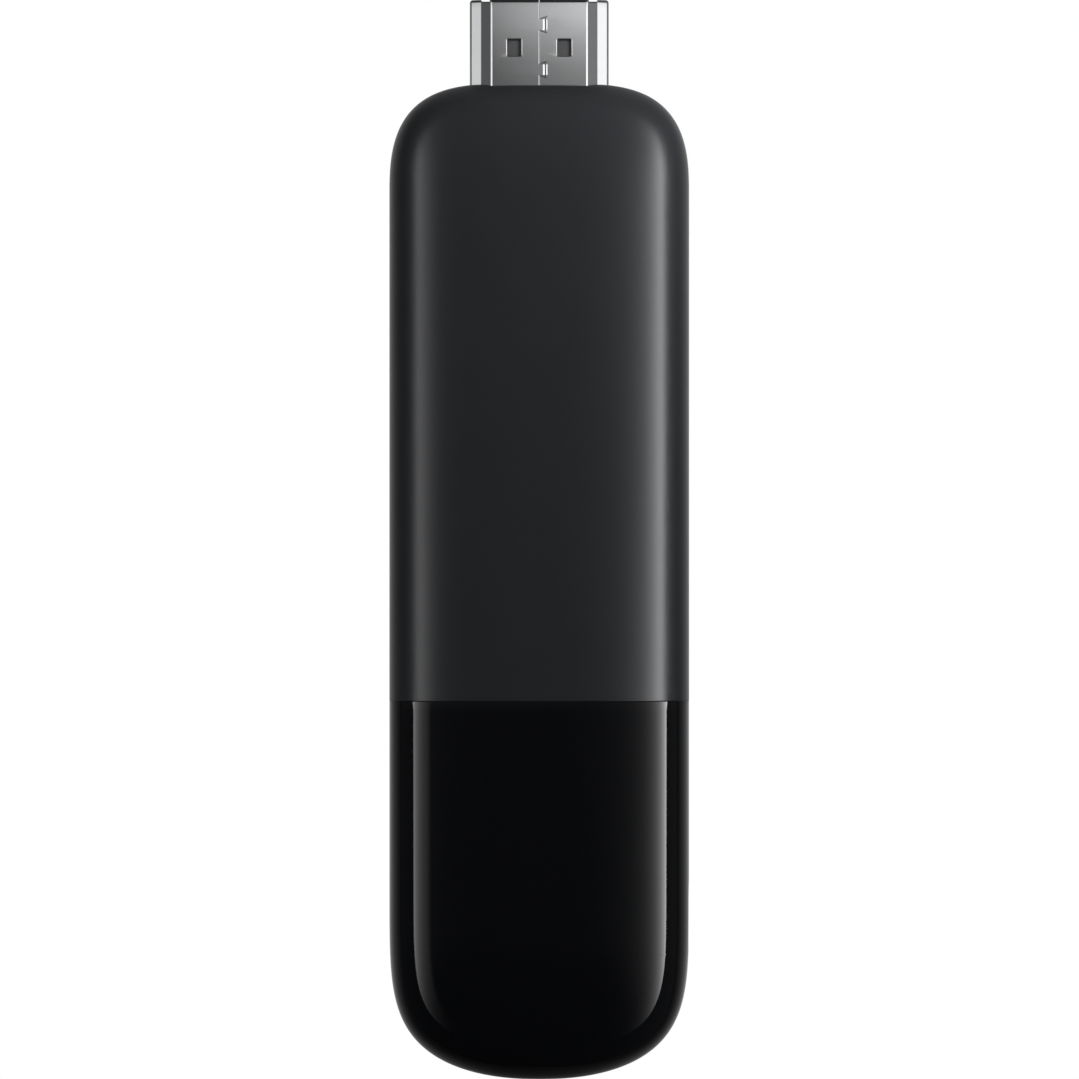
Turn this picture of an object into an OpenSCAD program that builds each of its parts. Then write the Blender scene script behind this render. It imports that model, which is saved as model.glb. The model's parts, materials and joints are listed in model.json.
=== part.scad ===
// Streaming media player: a stick with a video plug at one end and a power socket in its side.
// It lies on its back: +Z is the front face, +Y the plug end, +X the side with the power socket.
// The origin is under the middle of the whole length, on the surface that the stick rests on.

/* [Housing] */
// Width of the housing
housing_width = 30; // [29.6:0.2:33]
// Length of the housing, without the plug
housing_length = 99.7; // [99.7:0.1:108]
// Thickness of the housing
housing_thickness = 14; // [14:0.2:17]
// Wall thickness of the three covers
wall = 1.2; // [1.1:0.05:1.3]
// Length of the gloss end cover, from the round end to the seam
end_cover_length = 37.9; // [35:0.1:39]

/* [Housing shape] */
// Length over which the outline rounds off at the plug end
plug_end_reach = 11; // [9:0.5:12]
// Length over which the outline rounds off at the round end
round_end_reach = 21; // [19:0.5:22]
// Squareness of the front half of the cross-section, where 2 is an ellipse
front_power = 3; // [2.9:0.1:3.5]
// Squareness of the rear half of the cross-section
rear_power = 4; // [3.8:0.1:5]

/* [Plug] */
// How far the plug stands out of the housing
plug_reach = 8.3; // [8:0.1:11]
// Width of the plug's metal shell
plug_width = 13.9; // [13.8:0.05:14]
// Height of the plug's metal shell
plug_height = 4.45; // [4.4:0.05:4.55]
// Sheet thickness of the plug's shell
plug_sheet = 0.3; // [0.25:0.05:0.35]
// Distance from the plug's tip to the middle of its windows
window_setback = 4.85; // [4:0.05:6]

/* [Power socket] */
// Distance from the round end to the middle of the socket
port_distance = 16.45; // [16:0.05:17]
// Width of the socket's mouth
port_width = 6.9; // [6.8:0.05:7]
// Height of the socket's mouth
port_height = 1.85; // [1.8:0.05:1.9]
// Width of the opening in the housing
port_opening_width = 7.2; // [7.1:0.1:7.6]
// Height of the opening in the housing
port_opening_height = 3.2; // [2.8:0.1:3.6]

/* [Circuit board] */
// Width of the circuit board
board_width = 24.4; // [24:0.1:24.4]
// Thickness of the circuit board
board_thickness = 1; // [0.8:0.1:1]

/* [Hidden] */

$fn = 32;
// Overlap where two shapes of one piece are joined, and clearance where pieces pass each other
join = 0.2;
gap = 0.1;
// Larger than any piece
big = 200;

// Main places along the length, and the middle of the thickness where the covers part
total_length = housing_length + plug_reach;
tip_y = total_length / 2;
plug_face_y = tip_y - plug_reach;
round_end_y = -total_length / 2;
seam_y = round_end_y + end_cover_length;
mid = housing_thickness / 2;

// Exponents of the outline: the first along the length, the second across the width
plug_end_powers = [2.7, 3.9];
round_end_powers = [5.1, 2.2];
// Reach and exponent of the thickness as it closes at each end
plug_end_closing = [10, 2.4];
round_end_closing = [15, 3];
// How far the rear half would bulge past the flat back if it weren't cut flat
rear_bulge = 0.1;

// Lip of the rear cover, which stands up inside the front covers
lip_height = 1;
lip_thickness = 0.55;
// Shelf of the front cover, which reaches under the end cover
shelf_length = 2;
shelf_thickness = 0.55;

// Snap tabs of the rear cover and the hooks that they catch, drawn at y = 0 on the +X side
end_clip_ys = [round_end_y + 24.5];
front_clip_ys = [seam_y + 12, seam_y + 30, seam_y + 48];
tab_width = 5;
tab_thickness = 0.6;
tab_face_x = housing_width / 2 - 2.5;
wall_core_x = housing_width / 2 - 0.8;
tab_height = 2.7;
hook_width = 2.8;
hook_height = 0.7;
hook_z = mid + lip_height + 0.3;

// Circuit board
board_top = mid + board_thickness / 2;
board_bottom = mid - board_thickness / 2;
board_round_y = round_end_y + 3.6;
board_plug_y = plug_face_y - 7.1;
// Posts above and below it, with a pin through it at each spot
post_radius = 1.6;
pin_radius = 0.8;
post_spots = [
    [10, plug_face_y - 12.6], [-10, plug_face_y - 12.6],
    [8.6, round_end_y + 8.6], [-8.6, round_end_y + 8.6]
];

// Plug: outline of the shell seen from the tip, wide side towards the back
plug_half = plug_width / 2;
plug_profile = [
    [-plug_half, -plug_height / 2], [plug_half, -plug_height / 2], [plug_half, 0.7],
    [plug_half - 1.15, 1.3], [plug_half - 2.15, plug_height / 2],
    [2.15 - plug_half, plug_height / 2], [1.15 - plug_half, 1.3], [-plug_half, 0.7]
];
plug_back_y = plug_face_y - 6.3;
plug_corner = 0.4;
slot_width = 11.4;
slot_depth = 7.4;
contact_width = 0.45;
contact_thickness = 0.25;
contact_pitch = 1;
window_width = 1.37;
window_length = 1.63;
window_x = 2.5;
seam_slit = 0.06;
lock_width = 0.61;
lock_root = 1.1;
lock_head = 1.55;
lock_setbacks = [2.55, 7.05];
tip_relief = 0.35;

// Power socket: outline of the mouth seen from the side, wide side towards the front
port_y = round_end_y + port_distance;
port_sheet = 0.3;
port_profile = [
    [-port_width / 2 + 0.75, -port_height / 2], [port_width / 2 - 0.75, -port_height / 2],
    [port_width / 2, -0.1], [port_width / 2, port_height / 2],
    [-port_width / 2, port_height / 2], [-port_width / 2, -0.1]
];
port_mouth_x = housing_width / 2 - wall - 0.3;
port_back_x = port_mouth_x - 5.1;
port_pitch = 0.65;
port_contact = [0.35, 0.15];

// Shields, pads and heat spreaders: each stack is worked out from the board outwards
shield_sheet = 0.2;
shield_width = 19;
shield_y0 = seam_y + 3;
shield_y1 = shield_y0 + 38;
frame_height = 1.5;
pad_thickness = 1;
pad_width = 17;
spreader_thickness = 1;
spreader_width = 20;
spreader_y0 = seam_y - 3;
spreader_y1 = spreader_y0 + 48;
chip_pad_thickness = 0.4;
chip_height = frame_height - chip_pad_thickness;
stack_front = [
    board_top + frame_height,
    board_top + frame_height + shield_sheet,
    board_top + frame_height + shield_sheet + pad_thickness,
    board_top + frame_height + shield_sheet + pad_thickness + spreader_thickness
];

// Places of the chips, from the board's own features
processor_y = shield_y0 + 26;
memory_y = shield_y0 + 26;
flash_y = shield_y0 + 9;
wireless_y = port_y + 1.5;

// ---- Two-dimensional helpers ----

function unit(v) = v / norm(v);
function inward(a, b) = let (u = unit(b - a)) [-u.y, u.x];

// Polygon moved inwards by d, for points that run anticlockwise; a negative d moves it outwards
function shrink(points, d) = let (n = len(points)) [
    for (i = [0:n - 1])
        let (m = inward(points[(i + n - 1) % n], points[i]), k = inward(points[i], points[(i + 1) % n]))
        points[i] + (m + k) * d / (1 + m * k)
];

// One corner of a polygon, turned into an arc of radius r
function corner_arc(a, b, c, r, steps) =
    let (
        u = unit(a - b), v = unit(c - b), half = acos(u * v) / 2,
        centre = b + unit(u + v) * r / sin(half),
        start = b + u * r / tan(half) - centre, stop = b + v * r / tan(half) - centre,
        turn = (cross(start, stop) > 0 ? 1 : -1) * (180 - 2 * half),
        from = atan2(start.y, start.x)
    )
    [for (i = [0:steps]) centre + r * [cos(from + turn * i / steps), sin(from + turn * i / steps)]];

// Polygon with every corner rounded
function rounded(points, r, steps = 4) = let (n = len(points)) [
    for (i = [0:n - 1])
        each corner_arc(points[(i + n - 1) % n], points[i], points[(i + 1) % n], r, steps)
];

function box_outline(width, height) = [
    [-width / 2, -height / 2], [width / 2, -height / 2], [width / 2, height / 2], [-width / 2, height / 2]
];

// ---- Three-dimensional helpers ----

// A flat outline of x and z, drawn out along Y
module along_y(y0, y1) {
    translate([0, y1, mid])
        rotate([90, 0, 0])
            linear_extrude(y1 - y0)
                children();
}

// A flat outline of y and z about the socket's middle, drawn out along X
module along_x(x0, x1) {
    translate([x0, port_y, mid])
        rotate([90, 0, 90])
            linear_extrude(x1 - x0)
                children();
}

// A box from one corner to the opposite one
module span(low, high) {
    translate(low)
        cube(high - low);
}

// A chip or pad: a box of the given size, centred on x and y, from z upwards
module block(x, y, z, size) {
    translate([x - size.x / 2, y - size.y / 2, z])
        cube(size);
}

// The same shape on the left and on the right
module both_sides() {
    children();
    mirror([1, 0, 0])
        children();
}

// ---- Housing form ----

ring_points = 48;
end_steps = 13;

function signed_power(v, p) = sign(v) * pow(abs(v), p);

// How far a size has opened at distance d from an end, from 0 to 1
function opened(d, reach, along, across) =
    d >= reach ? 1 : pow(max(0, 1 - pow((reach - d) / reach, along)), 1 / across);

// Distances from an end at which the form has a ring, closest together near the end
function end_distances(reach, along) = [
    for (i = [1:end_steps]) reach * (1 - pow(cos(90 * i / end_steps), 2 / along))
];

// One ring of the housing form, inset from the outside, at distance d from one end
function form_ring(y, inset, wide, thick) = [
    for (i = [0:ring_points - 1])
        let (
            t = 360 * i / ring_points,
            power = sin(t) >= 0 ? front_power : rear_power,
            rise = sin(t) >= 0 ? mid - inset : mid + rear_bulge - inset,
            z = rise * thick * signed_power(sin(t), 2 / power)
        )
        [(housing_width / 2 - inset) * wide * signed_power(cos(t), 2 / power), y, mid + max(z, inset - mid)]
];

function plug_end_rings(inset) = [
    for (d = end_distances(plug_end_reach - inset, plug_end_powers[0]))
        form_ring(
            plug_face_y - inset - d, inset,
            opened(d, plug_end_reach - inset, plug_end_powers[0], plug_end_powers[1]),
            opened(d, plug_end_closing[0], plug_end_closing[1], plug_end_closing[1])
        )
];

function round_end_rings(inset) = [
    for (d = end_distances(round_end_reach - inset, round_end_powers[0]))
        form_ring(
            round_end_y + inset + d, inset,
            opened(d, round_end_reach - inset, round_end_powers[0], round_end_powers[1]),
            opened(d, round_end_closing[0], round_end_closing[1], round_end_closing[1])
        )
];

// Solid form of the whole housing, smaller all round by inset
module housing_form(inset) {
    rings = concat(round_end_rings(inset), [for (i = [end_steps - 1:-1:0]) plug_end_rings(inset)[i]]);
    last = len(rings) - 1;
    centre_count = len(rings) * ring_points;
    points = concat(
        [for (ring = rings) each ring],
        [[0, round_end_y + inset, mid], [0, plug_face_y - inset, mid]]
    );
    sides = [
        for (r = [0:last - 1], i = [0:ring_points - 1])
            let (
                j = (i + 1) % ring_points,
                a = r * ring_points + i, b = r * ring_points + j,
                c = a + ring_points, d = b + ring_points
            )
            each [[a, b, d], [a, d, c]]
    ];
    round_cap = [for (i = [0:ring_points - 1]) [(i + 1) % ring_points, i, centre_count]];
    plug_cap = [
        for (i = [0:ring_points - 1])
            [last * ring_points + i, last * ring_points + (i + 1) % ring_points, centre_count + 1]
    ];
    polyhedron(points, concat(sides, round_cap, plug_cap), convexity = 4);
}

// The walls alone
module housing_walls() {
    difference() {
        housing_form(0);
        housing_form(wall);
    }
}

// Openings in the covers for the plug and for the power socket
module openings() {
    along_y(plug_back_y - join, plug_face_y + 2)
        polygon(rounded(shrink(plug_profile, -gap / 2), plug_corner + gap / 2));
    along_x(port_mouth_x - 0.9, housing_width)
        polygon(rounded(box_outline(port_opening_width, port_opening_height), 1));
}

// Front half of the walls between two places, with room for the rear cover's lip
module front_walls(y0, y1) {
    difference() {
        intersection() {
            housing_walls();
            span([-big, y0, mid], [big, y1, big]);
        }
        intersection() {
            housing_form(wall - lip_thickness - gap);
            span([-big, y0 - 1, -big], [big, y1 + 1, mid + lip_height + gap]);
        }
    }
}

// Hook that catches in a snap tab of the rear cover
module hook() {
    span([tab_face_x + 0.1, -hook_width / 2, hook_z], [wall_core_x, hook_width / 2, hook_z + hook_height]);
}

// Places what is drawn at y = 0 on the +X side at each y on both sides
module at_sides(ys) {
    both_sides()
        for (y = ys)
            translate([0, y, 0])
                children();
}

// Places what is drawn on the +X side at the middle of the round end
module at_round_end() {
    translate([0, round_end_y + housing_width / 2, 0])
        rotate([0, 0, -90])
            children();
}

// Post that presses the board down, bored to clear the pin below it
module pressing_post(spot) {
    translate([spot.x, spot.y, board_top])
        difference() {
            cylinder(r = post_radius, h = 4.9);
            translate([0, 0, -1])
                cylinder(r = pin_radius + gap, h = 2.5);
        }
}

module front_cover() {
    color("#2b2c2e")
        difference() {
            union() {
                front_walls(seam_y + gap / 2, plug_face_y + 1);
                front_shelf();
                at_sides(front_clip_ys) hook();
                for (spot = post_spots)
                    if (spot.y > seam_y) pressing_post(spot);
                both_sides()
                    span([4.5, seam_y + 4, stack_front[3]], [5.5, seam_y + 40, 2 * mid - 1]);
                span([-8.5, plug_face_y - 4, mid + 1], [8.5, plug_face_y - 2.8, 2 * mid - 2.6]);
            }
            openings();
        }
}

// Shelf of the front cover, which reaches under the end cover
module front_shelf() {
    intersection() {
        difference() {
            housing_form(wall - shelf_thickness);
            housing_form(wall);
        }
        span(
            [-big, seam_y - shelf_length, mid + lip_height + 2 * gap],
            [big, seam_y + 1, big]
        );
    }
}

module end_cover() {
    color("#0b0b0c")
        difference() {
            union() {
                front_walls(round_end_y - 1, seam_y - gap / 2);
                at_sides(end_clip_ys) hook();
                at_round_end() hook();
                for (spot = post_spots)
                    if (spot.y < seam_y) pressing_post(spot);
            }
            intersection() {
                housing_form(wall - shelf_thickness - gap);
                span([-big, seam_y - shelf_length - gap, -big], [big, seam_y + 1, big]);
            }
            openings();
        }
}

// Snap tab of the rear cover, with a window for a hook
module snap_tab() {
    difference() {
        union() {
            span(
                [tab_face_x, -tab_width / 2, mid - 2.4],
                [tab_face_x + tab_thickness, tab_width / 2, mid + tab_height]
            );
            span([tab_face_x, -tab_width / 2, mid - 2.4], [wall_core_x, tab_width / 2, mid - 0.4]);
        }
        span(
            [tab_face_x - 1, -hook_width / 2 - gap, hook_z - gap],
            [tab_face_x + 2, hook_width / 2 + gap, hook_z + hook_height + gap]
        );
    }
}

// Post that carries the board, with a pin through the board
module carrying_post(spot) {
    translate([spot.x, spot.y, 1]) {
        cylinder(r = post_radius, h = board_bottom - 1);
        cylinder(r = pin_radius, h = board_top + 0.8 - 1);
    }
}

module rear_cover() {
    color("#242527")
        difference() {
            union() {
                intersection() {
                    housing_walls();
                    span([-big, -big, -big], [big, big, mid]);
                }
                intersection() {
                    difference() {
                        housing_form(wall - lip_thickness);
                        housing_form(wall);
                    }
                    span([-big, -big, mid - join], [big, big, mid + lip_height]);
                }
                at_sides(concat(end_clip_ys, front_clip_ys)) snap_tab();
                at_round_end() snap_tab();
                for (spot = post_spots) carrying_post(spot);
                both_sides()
                    span([7.5, seam_y - 2, 0.8], [8.5, seam_y + 42, 2 * mid - stack_front[3]]);
                span([-8.5, plug_face_y - 4, 1.8], [8.5, plug_face_y - 2.8, mid - 1]);
            }
            openings();
        }
}

// ---- Plug ----

// One dovetail lock of the shell's seam, as a thin line round the tab, which stays joined at its root
module lock_line(y) {
    difference() {
        lock_outline(y, seam_slit / 2);
        lock_outline(y, -seam_slit / 2);
        translate([-1, y - lock_root / 2 + seam_slit / 2])
            square([1 + 2 * seam_slit, lock_root - seam_slit]);
    }
}

module lock_outline(y, grow) {
    translate([seam_slit / 2, y])
        polygon(shrink([
            [0, -lock_root / 2], [lock_width, -lock_head / 2],
            [lock_width, lock_head / 2], [0, lock_root / 2]
        ], -grow));
}

// Slit where the folded sheet meets itself, on the narrow side
module seam_cut() {
    translate([0, 0, mid + plug_height / 2 - plug_sheet - 0.1])
        linear_extrude(1) {
            difference() {
                translate([-seam_slit / 2, plug_back_y - 1])
                    square([seam_slit, tip_y - plug_back_y + 2]);
                for (setback = lock_setbacks)
                    translate([-1, tip_y - setback - lock_root / 2 + seam_slit])
                        square([2, lock_root - 2 * seam_slit]);
            }
            for (setback = lock_setbacks) lock_line(tip_y - setback);
        }
}

module plug_shell() {
    color("#a9abad") {
        difference() {
            along_y(plug_back_y, tip_y)
                polygon(rounded(plug_profile, plug_corner));
            along_y(plug_back_y - 1, tip_y + 1)
                polygon(rounded(shrink(plug_profile, plug_sheet), plug_corner / 3));
            both_sides()
                span(
                    [window_x - window_width / 2, tip_y - window_setback - window_length / 2, -big],
                    [window_x + window_width / 2, tip_y - window_setback + window_length / 2, big]
                );
            // Notches that relieve the bends at the tip
            both_sides()
                span(
                    [plug_half - 2, tip_y - tip_relief, mid + 0.9],
                    [plug_half - 1.15, tip_y + 1, mid + plug_height / 2 + 1]
                );
            seam_cut();
        }
        both_sides()
            solder_leg();
    }
}

// Leg of the shell that is soldered under the board
module solder_leg() {
    span(
        [plug_half - plug_sheet, plug_back_y - 3, board_bottom - 1.2],
        [plug_half, plug_back_y + join, board_bottom]
    );
    span(
        [plug_half - 1.2, plug_back_y - 3, board_bottom - plug_sheet],
        [plug_half, plug_back_y - 0.4, board_bottom]
    );
}

module plug_insulator() {
    front_y = tip_y - 0.6;
    slot_half = board_thickness / 2 + contact_thickness;
    color("#1b1b1d")
        difference() {
            along_y(plug_back_y - 0.3, front_y)
                polygon(rounded(shrink(plug_profile, plug_sheet + gap / 2), plug_corner / 3));
            span(
                [-slot_width / 2, front_y - slot_depth, mid - slot_half],
                [slot_width / 2, big, mid + slot_half]
            );
            contact_row(10, -1, gap / 4, -1);
            contact_row(9, 1, gap / 4, -1);
        }
}

// A row of contact blades against one face of the slot, each wider than its nominal size by 2 * extra
module contact_row(count, side, extra, setback) {
    z = side > 0 ? board_top : board_bottom - contact_thickness;
    for (i = [0:count - 1])
        let (x = (i - (count - 1) / 2) * contact_pitch)
            span(
                [x - contact_width / 2 - extra, board_plug_y - 2 + setback, z - extra],
                [x + contact_width / 2 + extra, tip_y - 1.6 + extra, z + contact_thickness + extra]
            );
}

module plug_contacts_front() {
    color("#d8b25a")
        contact_row(9, 1, 0, 0);
}

module plug_contacts_rear() {
    color("#d8b25a")
        contact_row(10, -1, 0, 0);
}

// ---- Power socket ----

module port_shell() {
    color("#b4b6b8") {
        difference() {
            along_x(port_back_x, port_mouth_x)
                polygon(rounded(shrink(port_profile, -port_sheet), 0.35));
            along_x(port_back_x - 1, port_mouth_x + 1)
                polygon(rounded(port_profile, 0.15));
        }
        for (side = [-1, 1])
            translate([0, port_y + side * (port_width / 2 + port_sheet + 0.65), 0])
                block(port_back_x + 2.2, 0, board_top, [2.4, 1.8, 0.25]);
    }
}

module port_tongue() {
    color("#161617") {
        difference() {
            along_x(port_back_x, port_back_x + 1.3)
                polygon(rounded(shrink(port_profile, gap / 2), 0.12));
            port_blades(gap / 4, port_back_x - 1);
        }
        span(
            [port_back_x + 1.3 - join, port_y - 1.95, board_top - 0.6],
            [port_back_x + 4.4, port_y + 1.95, board_top]
        );
    }
}

// The socket's contact blades, lying on the tongue and on the board
module port_blades(extra, back_x) {
    half_width = port_contact[0] / 2 + extra;
    top = board_top + port_contact[1] + extra;
    for (i = [-2:2])
        let (y = port_y + i * port_pitch)
            span([back_x, y - half_width, board_top], [port_back_x + 4.2, y + half_width, top]);
}

module port_contacts() {
    color("#d8b25a")
        port_blades(0, port_back_x - 1.4);
}

// ---- Circuit board and its parts ----

module main_board() {
    length = board_plug_y - board_round_y;
    outline = [
        for (p = box_outline(board_width, length)) p + [0, board_round_y + length / 2]
    ];
    color("#1f5c3a")
        translate([0, 0, board_bottom])
            linear_extrude(board_thickness)
                difference() {
                    polygon(concat(
                        corner_arc(outline[3], outline[0], outline[1], 6, 8),
                        corner_arc(outline[0], outline[1], outline[2], 6, 8),
                        corner_arc(outline[1], outline[2], outline[3], 1.5, 4),
                        corner_arc(outline[2], outline[3], outline[0], 1.5, 4)
                    ));
                    translate([port_back_x - 0.4, port_y - port_width / 2 - port_sheet - 0.25])
                        square([big, port_width + 2 * port_sheet + 0.5]);
                    for (spot = post_spots)
                        translate(spot)
                            circle(r = pin_radius + gap);
                }
}

module processor_chip() {
    color("#2e2f31") {
        block(0, processor_y, board_top, [14, 14, 0.5]);
        block(0, processor_y, board_top + 0.5 - join / 4, [12.6, 12.6, chip_height - 0.5 + join / 4]);
    }
}

module memory_chips() {
    color("#242527")
        for (x = [-4.4, 4.4])
            block(x, memory_y, board_bottom - chip_height, [7.5, 13.3, chip_height]);
}

module flash_chip() {
    color("#242527")
        block(0, flash_y, board_top, [11.5, 13, 1]);
}

module power_chip() {
    color("#242527")
        block(3, port_y + 9.5, board_bottom - 0.85, [4, 4, 0.85]);
}

module wireless_module() {
    color("#c3c5c6") {
        block(-1.5, wireless_y, board_top, [12, 12, 0.6]);
        block(-1.5, wireless_y, board_top + 0.6 - join / 4, [11.2, 11.2, 1.3]);
    }
}

module main_crystal() {
    color("#cfd1d2")
        block(-7.4, flash_y + 4, board_top, [2.5, 3.2, 0.7]);
}

module wireless_crystal() {
    color("#cfd1d2")
        block(-1.5, wireless_y + 7.6, board_top, [2, 1.6, 0.5]);
}

// Coil parts of the power supply: a square base and a round core each
module power_inductors() {
    color("#4a4b4d")
        for (i = [0:2])
            translate([-6.5 + 4.2 * i, port_y + 14.5, board_bottom]) {
                translate([-1.5, -1.5, -0.4])
                    cube([3, 3, 0.4]);
                translate([0, 0, -1.6])
                    cylinder(d = 2.8, h = 1.6 - join);
            }
}

module large_capacitors() {
    color("#b98b3a")
        for (i = [0:2])
            block(-7 + 3.6 * i, port_y - 4.5, board_bottom - 1.8, [2.8, 3.5, 1.8]);
}

// Two rows beside the memory chips, under the rear shield
module small_capacitors() {
    color("#c9a877")
        for (side = [-1, 1], i = [0:7])
            block(side * 8.7, memory_y - 7 + 2 * i, board_bottom - 0.5, [0.5, 1, 0.5]);
}

module surge_arrays() {
    color("#242527")
        for (x = [-4, 0, 4])
            block(x, board_plug_y - 5.2, board_top, [2.5, 1, 0.5]);
}

// A sheet-metal aerial: a plate held over the board by two legs
module antenna(x, y0, y1) {
    color("#d6c48a") {
        span([x - 1.4, y0, board_top + 2.2], [x + 1.4, y1, board_top + 2.45]);
        for (y = [y0, y0 + 3])
            span([x - 1.4, y, board_top], [x - 1.15, y + 1, board_top + 2.45]);
    }
}

module antenna_left() {
    antenna(-10.1, port_y + 3.5, port_y + 17);
}

module antenna_right() {
    antenna(10.1, port_y + 6.5, port_y + 19);
}

// ---- Shields, pads and heat spreaders ----

// Mirrors what is drawn above the board to the side below it
module below_board() {
    translate([0, 0, 2 * mid])
        mirror([0, 0, 1])
            children();
}

// Soldered fence with a narrow flange along its top
module shield_frame() {
    difference() {
        span([-shield_width / 2, shield_y0, board_top], [shield_width / 2, shield_y1, stack_front[0]]);
        span(
            [-shield_width / 2 + shield_sheet, shield_y0 + shield_sheet, board_top - 1],
            [shield_width / 2 - shield_sheet, shield_y1 - shield_sheet, stack_front[0] - shield_sheet]
        );
        span(
            [-shield_width / 2 + 0.9, shield_y0 + 0.9, board_top - 1],
            [shield_width / 2 - 0.9, shield_y1 - 0.9, stack_front[0] + 1]
        );
    }
}

// Tray that snaps over the fence
module shield_lid() {
    skirt = shield_sheet + gap / 2;
    difference() {
        span(
            [-shield_width / 2 - skirt, shield_y0 - skirt, stack_front[0] - 0.9],
            [shield_width / 2 + skirt, shield_y1 + skirt, stack_front[1]]
        );
        span(
            [-shield_width / 2 - gap / 2, shield_y0 - gap / 2, board_top],
            [shield_width / 2 + gap / 2, shield_y1 + gap / 2, stack_front[0]]
        );
    }
}

module outer_pad() {
    span([-pad_width / 2, shield_y0 + 2, stack_front[1]], [pad_width / 2, shield_y1 - 2, stack_front[2]]);
}

// Plate with a small locating hole near each corner
module spreader() {
    hole_inset = 1.6;
    half_width = spreader_width / 2;
    difference() {
        span([-half_width, spreader_y0, stack_front[2]], [half_width, spreader_y1, stack_front[3]]);
        both_sides()
            for (y = [spreader_y0 + hole_inset, spreader_y1 - hole_inset])
                translate([half_width - hole_inset, y, 0])
                    cylinder(r = 0.7, h = big);
    }
}

module front_shield_frame() {
    color("#b9bbbd")
        shield_frame();
}

module front_shield_lid() {
    color("#c6c8ca")
        shield_lid();
}

module rear_shield_frame() {
    color("#b9bbbd")
        below_board()
            shield_frame();
}

module rear_shield_lid() {
    color("#c6c8ca")
        below_board()
            shield_lid();
}

module processor_pad() {
    color("#8fa3b5")
        block(0, processor_y, board_top + chip_height, [12, 12, chip_pad_thickness]);
}

module memory_pads() {
    color("#8fa3b5")
        for (x = [-4.4, 4.4])
            block(x, memory_y, board_bottom - frame_height, [7, 12.6, chip_pad_thickness]);
}

module front_thermal_pad() {
    color("#7f93a6")
        outer_pad();
}

module rear_thermal_pad() {
    color("#7f93a6")
        below_board()
            outer_pad();
}

module front_heat_spreader() {
    color("#a7a9ac")
        spreader();
}

module rear_heat_spreader() {
    color("#a7a9ac")
        below_board()
            spreader();
}

front_cover();
end_cover();
rear_cover();
plug_shell();
plug_insulator();
plug_contacts_front();
plug_contacts_rear();
port_shell();
port_tongue();
port_contacts();
main_board();
processor_chip();
memory_chips();
flash_chip();
power_chip();
wireless_module();
main_crystal();
wireless_crystal();
power_inductors();
large_capacitors();
small_capacitors();
surge_arrays();
antenna_left();
antenna_right();
front_shield_frame();
front_shield_lid();
rear_shield_frame();
rear_shield_lid();
processor_pad();
memory_pads();
front_thermal_pad();
rear_thermal_pad();
front_heat_spreader();
rear_heat_spreader();
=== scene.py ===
"""Looks of the streaming media player: a rounded stick with a video plug and a side power socket.

It lies on its back: +Z is the front face, +Y the plug end, +X the side with the power socket.
All sizes are in metres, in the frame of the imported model.
"""
import json
import math

import bmesh
import bpy
import numpy as np
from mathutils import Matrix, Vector

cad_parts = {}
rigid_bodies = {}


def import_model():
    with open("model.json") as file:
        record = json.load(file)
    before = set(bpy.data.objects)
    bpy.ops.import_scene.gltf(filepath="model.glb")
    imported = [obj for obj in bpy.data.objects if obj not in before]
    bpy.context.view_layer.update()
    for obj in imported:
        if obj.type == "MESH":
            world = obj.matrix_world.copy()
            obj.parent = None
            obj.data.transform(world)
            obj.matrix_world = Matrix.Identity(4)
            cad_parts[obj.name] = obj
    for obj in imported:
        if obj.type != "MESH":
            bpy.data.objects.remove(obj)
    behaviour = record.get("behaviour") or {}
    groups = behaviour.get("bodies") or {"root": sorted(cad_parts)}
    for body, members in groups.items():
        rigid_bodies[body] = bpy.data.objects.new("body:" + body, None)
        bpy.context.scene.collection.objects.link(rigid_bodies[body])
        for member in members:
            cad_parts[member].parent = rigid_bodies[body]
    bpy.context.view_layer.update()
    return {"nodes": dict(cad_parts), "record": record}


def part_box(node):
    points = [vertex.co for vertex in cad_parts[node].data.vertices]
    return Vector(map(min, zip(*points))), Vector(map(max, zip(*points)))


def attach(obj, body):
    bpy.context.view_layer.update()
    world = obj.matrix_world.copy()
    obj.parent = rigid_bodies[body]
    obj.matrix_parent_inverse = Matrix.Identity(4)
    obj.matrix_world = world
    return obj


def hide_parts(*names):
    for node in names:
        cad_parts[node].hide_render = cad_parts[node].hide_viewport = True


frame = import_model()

MM = 0.001
SHARP_ANGLE = 35                        # degrees: edges that turn more stay sharp in shading

# ---- Sizes, from the frame or as in the CAD model ----

rear_low, rear_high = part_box("rear_cover")
front_low, front_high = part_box("front_cover")
plug_low, plug_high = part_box("plug_shell")
port_low, port_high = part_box("port_shell")

HALF_WIDTH = rear_high.x
MID = front_low.z                       # the plane where the covers part
FRONT_DEPTH = front_high.z - MID
REAR_DEPTH = MID - rear_low.z
TIP_Y = plug_high.y
ROUND_END_Y = rear_low.y
PLUG_REACH = 8.3 * MM                   # how far the plug stands out
PLUG_FACE_Y = TIP_Y - PLUG_REACH        # the housing's own end, behind the plug
SEAM_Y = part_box("end_cover")[1].y + 0.05 * MM   # middle of the gap between the front covers

# Shape of the housing: reach and exponents with which each end closes, as in the CAD model
PLUG_END = {
    "reach": 11 * MM, "along": 2.7, "across": 3.9,
    "thick_reach": 10 * MM, "thick_power": 2.4,
}
ROUND_END = {
    "reach": 21 * MM, "along": 5.1, "across": 2.2,
    "thick_reach": 15 * MM, "thick_power": 3.0,
}
FRONT_POWER = 3.0
REAR_POWER = 4.0
REAR_BULGE = 0.1 * MM                   # how far the rear would bulge if it weren't cut flat

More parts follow.
